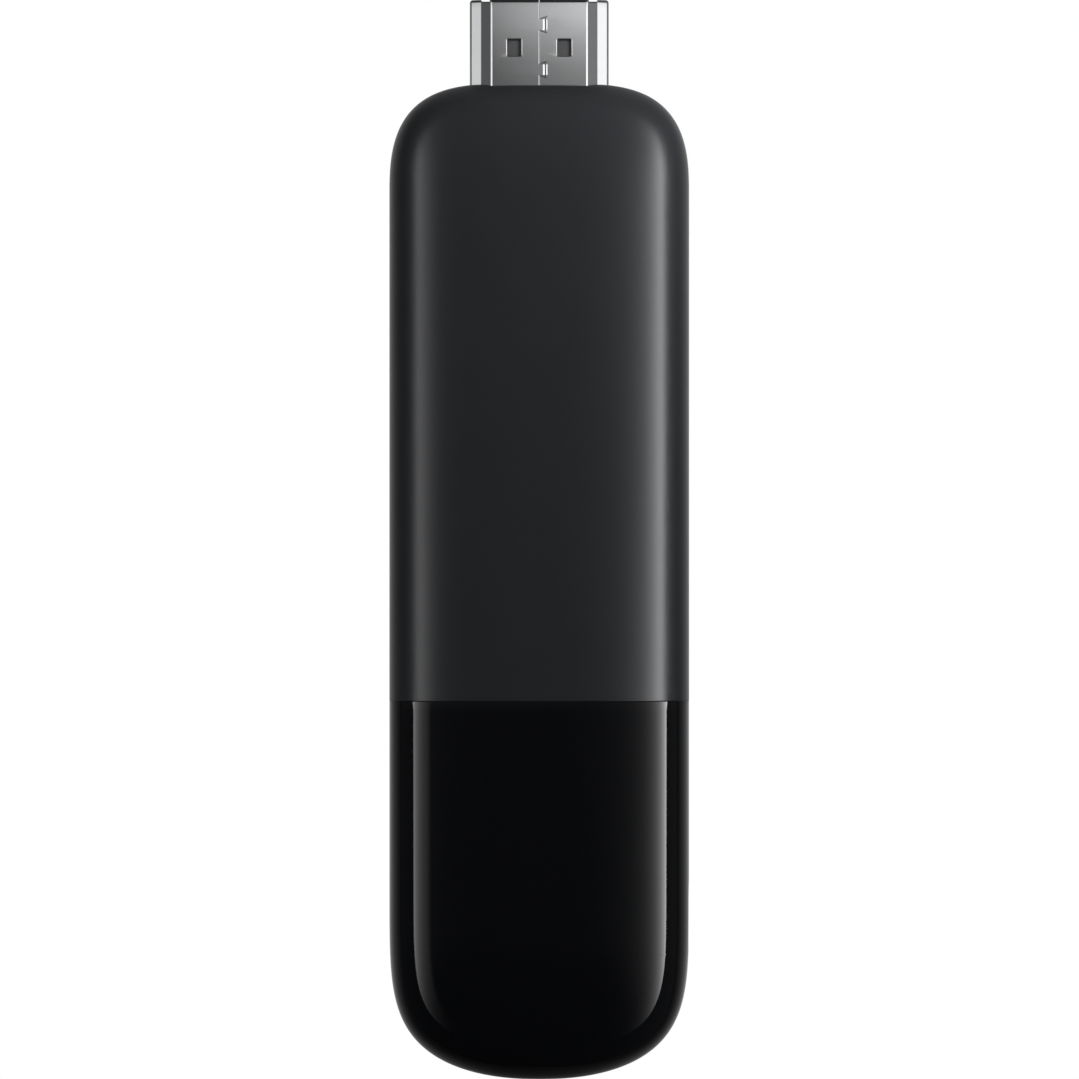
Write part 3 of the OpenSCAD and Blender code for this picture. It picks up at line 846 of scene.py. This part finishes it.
def plug_sheet():
    """The plug's folded sheet, with its rim rolled inwards as a lead-in."""
    straight_rows = np.linspace(0, 1, 30)
    loops = []
    for y in PLUG_BACK_Y + (TIP_Y - PLUG_LIP - PLUG_BACK_Y) * straight_rows:
        loops.append(plug_loop(0, y))
    for angle in quarter_turn(8)[1:]:
        inset = 0.9 * PLUG_SHEET * (1 - math.cos(angle))
        loops.append(plug_loop(inset, TIP_Y - PLUG_LIP * (1 - math.sin(angle))))
    for extra, setback in ((0.1 * MM, 0.12 * MM), (0.02 * MM, 0.5 * MM), (0, 1 * MM)):
        loops.append(plug_loop(PLUG_SHEET + extra, TIP_Y - setback))
    loops.append(plug_loop(PLUG_SHEET, PLUG_BACK_Y))
    faces = loop_faces(loops, len(loops))
    return mesh_object("plug_shell_sheet", np.concatenate(loops), faces)


def relief_cutter(side):
    """The notch in one upper slope at the tip, which relieves its bends."""
    low, high = sorted(side * (PLUG_HALF - inset) for inset in RELIEF_INSETS)
    return box_cutter(
        "relief_cutter", (low, TIP_Y - RELIEF, MID + RELIEF_HEIGHT),
        (high, TIP_Y + BEYOND, MID + PLUG_HALF_HEIGHT + BEYOND))


def make_plug_shell():
    """The plug's sheet with its windows, tip notches and locked seam."""
    shell = plug_sheet()
    cutters = [seam_cutter()]
    for side in (-1, 1):
        for face in (-1, 1):
            cutters.append(window_cutter(side * WINDOW_X, TIP_Y - WINDOW_SETBACK, face))
        cutters.append(relief_cutter(side))
    cut(shell, cutters)
    cut(shell, seam_grooves())
    fine_angle = 20                     # degrees: less than elsewhere, to keep fine grooves crisp
    shade(shell.data, fine_angle)
    even_shading(shell)
    finish_piece(shell, "plug_steel", "plug_shell")


slots = {part["node"]: part["material_slot"] for part in frame["record"]["subparts"]}


def make_softened(node, width):
    """A copy of a CAD node with its edges rounded, which stands for it."""
    weld, nearly_flat = 0.0005 * MM, math.radians(2)
    piece = frame["nodes"][node].copy()
    piece.data = piece.data.copy()
    piece.name = node + "_part"
    for key in list(piece.keys()):
        del piece[key]
    piece.parent = None
    link(piece)
    shape = bmesh.new()
    shape.from_mesh(piece.data)
    bmesh.ops.remove_doubles(shape, verts=shape.verts, dist=weld)
    bmesh.ops.dissolve_limit(
        shape, angle_limit=nearly_flat, verts=shape.verts, edges=shape.edges)
    shape.to_mesh(piece.data)
    shape.free()
    soften(piece, width)
    even_shading(piece)
    finish_piece(piece, slots[node], node)


make_covers()
make_plug_shell()
for node in ("plug_insulator", "plug_contacts_front", "plug_contacts_rear",
             "port_shell", "port_tongue", "port_contacts"):
    make_softened(node, 0.03 * MM)
for node, obj in frame["nodes"].items():
    paint(obj, slots[node])


# ---- Stage, lights and camera ----

FLOOR_Z = rear_low.z - 0.02 * MM
FLOOR_HALF = 3.0
BACKDROP_RADIUS = 4.5

# Panels: tilts from straight up and turns round the object are in degrees
PANEL_FADE = 8.8                        # tilt over which a panel fades by a factor of e
PANEL_DIM_FADE = 14                     # the same, for the faint part
PANEL_BLEND = 4                         # tilt over which one part gives way to the other
PANEL_SKEW = 0.2                        # how much the lower edge drops, per degree of turn
PANEL_TURNS = np.linspace(-88, 88, 89)
PANEL_ROWS = 91
LEFT, RIGHT = -1, 1                     # the -X and the +X side

# Card above the plug
CARD_HEIGHT = 20 * MM                   # above the plug's flat top
CARD_X = np.linspace(-7, 7, 15) * MM
CARD_Y = np.linspace(PLUG_FACE_Y - 8 * MM, TIP_Y + 2 * MM, 40)
CARD_GLOW = 0.69                        # at the middle of the tip
CARD_SLOPE = 64                         # how much it brightens towards +X, per metre
CARD_FADE = 5.6 * MM                    # distance from the tip over which it fades by a factor of e

# Light from the far side of the room, which grows between two heights on a dome, as shares
ROOM_RADIUS = 1.75
ROOM_GLOW = 0.12
ROOM_START, ROOM_END = -0.16, 0.14

# Light from the floor, painted on a glowing card: a painted shadow under the object, painted light
# brightest beside it and fading outwards
FLOOR_BASE = 0.09
FLOOR_PEAK = 0.44
FLOOR_SHADOW_WIDTH = 20 * MM                    # distance across at which the peak is reached
FLOOR_EDGE = (22 * MM, 45 * MM)         # distances across and along at which it starts to fade
FLOOR_FADE = (28 * MM, 20 * MM)         # how far on it has faded by a factor of e
# painted light: the floor glows brighter on the +X side than on the -X side
FLOOR_SIDES = {LEFT: 0.92, RIGHT: 1.1}
FLOOR_PLACES = np.concatenate([np.arange(0, 21, 4), np.geomspace(22, 2500, 40)]) * MM


def glowing(obj, glow=None, clear=False, one_sided=False):
    """Makes a stage object shine: glow is a brightness for each vertex.

    A clear one also lets through what shines behind it. A one-sided one can't be seen from behind.
    """
    material = bpy.data.materials.new(obj.name)
    material.use_nodes = True
    tree = material.node_tree
    tree.nodes.clear()
    emission = tree.nodes.new("ShaderNodeEmission")
    output = tree.nodes.new("ShaderNodeOutputMaterial")
    shine = emission
    if clear:
        shine = tree.nodes.new("ShaderNodeAddShader")
        tree.links.new(emission.outputs[0], shine.inputs[0])
        tree.links.new(tree.nodes.new("ShaderNodeBsdfTransparent").outputs[0], shine.inputs[1])
    if one_sided:
        shine = tree.nodes.new("ShaderNodeMixShader")
        side = tree.nodes.new("ShaderNodeNewGeometry")
        tree.links.new(side.outputs["Backfacing"], shine.inputs[0])
        tree.links.new(emission.outputs[0], shine.inputs[1])
        tree.links.new(tree.nodes.new("ShaderNodeBsdfTransparent").outputs[0], shine.inputs[2])
    tree.links.new(shine.outputs[0], output.inputs["Surface"])
    if glow is not None:
        obj.data.attributes.new("glow", "FLOAT", "POINT").data.foreach_set("value", glow)
        attribute = tree.nodes.new("ShaderNodeAttribute")
        attribute.attribute_name = "glow"
        tree.links.new(attribute.outputs["Fac"], emission.inputs["Strength"])
    material.cycles.emission_sampling = "NONE"
    obj.data.materials.append(material)


def seen_in_reflections(obj, pieces, glow):
    """Makes obj shine in the reflections of some pieces and nowhere else."""
    obj.visible_camera = obj.visible_diffuse = obj.visible_shadow = False
    obj.light_linking.receiver_collection = pieces
    glowing(obj, glow, clear=True)


def light_panel(name, side, pieces, distance, lower_edge, glow_at):
    """A curved panel on the +X or -X side that only the reflections of some pieces see.

    Places on it are given by tilt from straight up and turn round the object, in degrees.
    lower_edge gives the largest tilt at a turn and glow_at the brightness at a tilt and turn.
    """
    points, glow = [], []
    for share in np.linspace(0, 1, PANEL_ROWS):
        for turn in PANEL_TURNS:
            tilt = lower_edge(turn) * share
            glow.append(glow_at(tilt, turn))
            t, a = math.radians(tilt), math.radians(turn)
            points.append((
                side * distance * math.sin(t) * math.cos(a),
                distance * math.sin(t) * math.sin(a),
                MID + distance * math.cos(t),
            ))
    panel = mesh_object(name, points, grid_faces(PANEL_ROWS, len(PANEL_TURNS), flip=side > 0))
    seen_in_reflections(panel, pieces, glow)


def fading_panel(name, side, pieces, distance, strength, low, high, centre, width, dim=0.0):
    """A panel that is brightest along its lower edge, at tilt high, and fades upwards to low.

    It is also brightest at the turn called centre and fades over width to either side.
    dim is the brightness with which a faint part carries on above low.
    """
    def lower_edge(turn):
        return high + PANEL_SKEW * turn

    def glow_at(tilt, turn):
        glow = strength * math.exp((tilt - lower_edge(turn)) / PANEL_FADE)
        faint = dim * math.exp(min(tilt - low, 0) / PANEL_DIM_FADE)
        share = min(max((tilt - low) / PANEL_BLEND, 0), 1)
        glow = glow * share + faint * (1 - share)
        return glow * math.exp(-((turn - centre) / width) ** 2)

    light_panel(name, side, pieces, distance, lower_edge, glow_at)


def stepped_panel(name, side, pieces, distance, tilts, levels, width):
    """A panel whose brightness is given at a few tilts, fading over width to either side."""
    def glow_at(tilt, turn):
        return np.interp(tilt, tilts, levels) * math.exp(-(turn / width) ** 2)

    light_panel(name, side, pieces, distance, lambda turn: tilts[-1], glow_at)


def collect(name, pieces):
    """A collection of pieces, for lights that only they see."""
    collection = bpy.data.collections.new(name)
    for piece in pieces:
        collection.objects.link(piece)
    return collection


def make_panels():
    """Panels for each kind of surface: they stand a little higher for the matte covers.

    Each kind's panels have a distance of their own, so that none stands in another's way.
    """
    matte = collect("matte_pieces", shown["matte_housing"])
    plug = collect("plug_pieces", shown["plug_steel"])
    rest = collect("other_pieces", [
        obj for slot, members in shown.items() if slot not in ("matte_housing", "plug_steel")
        for obj in members
    ])
    body = collect("body_pieces", list(matte.objects) + list(rest.objects))
    fading_panel("left_panel", LEFT, rest, distance=1.6, strength=12.2,
                 low=37, high=61.8, centre=14, width=29, dim=0.14)
    fading_panel("right_panel", RIGHT, rest, distance=1.6, strength=34,
                 low=0, high=64.5, centre=14, width=29)
    fading_panel("left_matte_panel", LEFT, matte, distance=1.65, strength=13.5,
                 low=33, high=56, centre=4, width=32, dim=0.14)
    fading_panel("right_matte_panel", RIGHT, matte, distance=1.65, strength=44,
                 low=0, high=58, centre=4, width=32)
    tilts = (0, 9, 11, 47, 51, 61, 66, 89)
    stepped_panel("left_plug_panel", LEFT, plug, distance=1.7, tilts=tilts,
                  levels=(0, 0, 1.8, 1.8, 1, 1, 0.07, 0.07), width=25)
    stepped_panel("right_plug_panel", RIGHT, plug, distance=1.7, tilts=tilts,
                  levels=(0, 0, 2.3, 2.3, 1.6, 1.6, 0.14, 0.14), width=25)
    plug_card(plug)
    room_glow(body)


def plug_card(pieces):
    """A small card above the plug, which the plug's flat top mirrors: brighter towards its tip."""
    points, glow = [], []
    for y in CARD_Y:
        for x in CARD_X:
            points.append((x, y, MID + PLUG_HALF_HEIGHT + CARD_HEIGHT))
            fade = math.exp((min(y, TIP_Y) - TIP_Y) / CARD_FADE)
            glow.append((CARD_GLOW + CARD_SLOPE * x) * fade)
    card = mesh_object("plug_card", points, grid_faces(len(CARD_Y), len(CARD_X), flip=True))
    seen_in_reflections(card, pieces, glow)


def room_glow(pieces):
    """The side of the room beyond the plug end is a little lighter, as the housing sees it."""
    dome = sphere("room_glow", ROOM_RADIUS, segments=96, rings=64)
    glow = [
        ROOM_GLOW * smooth_step(v.co.y / ROOM_RADIUS, ROOM_START, ROOM_END)
        for v in dome.data.vertices
    ]
    dome.visible_camera = dome.visible_shadow = False
    dome.light_linking.receiver_collection = pieces
    glowing(dome, glow, clear=True)


def soft_sun(name, side, tilt, strength):
    """A wide soft light from the +X or -X side for the body colours, without reflections."""
    lamp = bpy.data.lights.new(name, "SUN")
    lamp.energy = strength
    lamp.angle = math.radians(40)
    obj = link(bpy.data.objects.new(name, lamp))
    obj.rotation_euler = (0, side * math.radians(tilt), 0)
    obj.visible_glossy = False


def only_camera_sees(obj):
    obj.visible_diffuse = obj.visible_glossy = obj.visible_shadow = False
    obj.visible_transmission = False


def make_floor():
    """White floor for the camera, and a dimmer one in the same place that lights the object."""
    signs = ((-1, -1), (1, -1), (1, 1), (-1, 1))
    corners = [(i * FLOOR_HALF, j * FLOOR_HALF, FLOOR_Z) for i, j in signs]
    floor = mesh_object("floor", corners, [(0, 1, 2, 3)])
    glowing(floor, one_sided=True)
    only_camera_sees(floor)

    # A glowing card at the floor with painted floor light, painted shadow and a brighter +X side.
    places = np.concatenate([-FLOOR_PLACES[:0:-1], FLOOR_PLACES])
    points, glow = [], []
    for y in places:
        for x in places:
            # painted shadow under the object: the glow is least in the middle and peaks beside it
            rise = smooth_step(abs(x), 0, FLOOR_SHADOW_WIDTH)
            across, along = max(abs(x) - FLOOR_EDGE[0], 0), max(abs(y) - FLOOR_EDGE[1], 0)
            fall = math.exp(-across / FLOOR_FADE[0] - along / FLOOR_FADE[1])
            points.append((x, y, FLOOR_Z))
            level = FLOOR_SIDES[RIGHT if x > 0 else LEFT]
            glow.append(level * (FLOOR_BASE + FLOOR_PEAK * rise * fall))
    card = mesh_object("floor_painted_light", points, grid_faces(len(places), len(places)))
    glowing(card, glow)
    card.visible_camera = card.visible_shadow = False


def make_backdrop():
    """White surroundings that only the camera sees, beyond the floor."""
    dome = sphere("backdrop", BACKDROP_RADIUS, segments=48, rings=24)
    glowing(dome)
    only_camera_sees(dome)


def make_world():
    """A dim room, lighter on the sides and most towards +X: base + (skew + slope * x) * x."""
    base, skew, slope = 0.03, 0.05, 0.1
    world = bpy.data.worlds.new("dim_room")
    world.use_nodes = True
    tree = world.node_tree
    background = tree.nodes["Background"]
    background.inputs["Color"].default_value = (0.97, 0.98, 1.0, 1)
    place = tree.nodes.new("ShaderNodeTexCoord")
    split = tree.nodes.new("ShaderNodeSeparateXYZ")
    tree.links.new(place.outputs["Generated"], split.inputs[0])
    inner = tree.nodes.new("ShaderNodeMath")
    inner.operation = "MULTIPLY_ADD"
    inner.inputs[1].default_value = slope
    inner.inputs[2].default_value = skew
    outer = tree.nodes.new("ShaderNodeMath")
    outer.operation = "MULTIPLY_ADD"
    outer.inputs[2].default_value = base
    tree.links.new(split.outputs["X"], inner.inputs[0])
    tree.links.new(inner.outputs[0], outer.inputs[0])
    tree.links.new(split.outputs["X"], outer.inputs[1])
    tree.links.new(outer.outputs[0], background.inputs["Strength"])
    bpy.context.scene.world = world


def make_plug_light():
    """A small soft lamp near the plug, whose light falls off along the stick."""
    lamp = bpy.data.lights.new("plug_lamp", "POINT")
    lamp.energy = 0.112
    lamp.shadow_soft_size = 12 * MM
    obj = link(bpy.data.objects.new("plug_lamp", lamp))
    obj.location = (40 * MM, 70 * MM, 47 * MM)
    obj.visible_glossy = False
    obj.visible_camera = False


def make_camera():
    """A long lens straight above, framing the whole length as in the photograph."""
    distance = 0.9
    field = 108.07 * MM
    aim = Vector((0.025 * MM, 0.01 * MM, MID))
    camera = bpy.data.cameras.new("camera")
    camera.sensor_width = 36
    camera.lens = camera.sensor_width * distance / field
    camera.clip_start = 0.05
    camera.clip_end = 20
    obj = link(bpy.data.objects.new("camera", camera))
    obj.location = aim + Vector((0, 0, distance))
    bpy.context.scene.camera = obj


make_floor()
make_backdrop()
make_world()
make_panels()
soft_sun("left_sun", LEFT, tilt=52, strength=0.5)
soft_sun("right_sun", RIGHT, tilt=57, strength=0.4)
make_plug_light()
make_camera()
bpy.context.scene.view_settings.view_transform = "Standard"
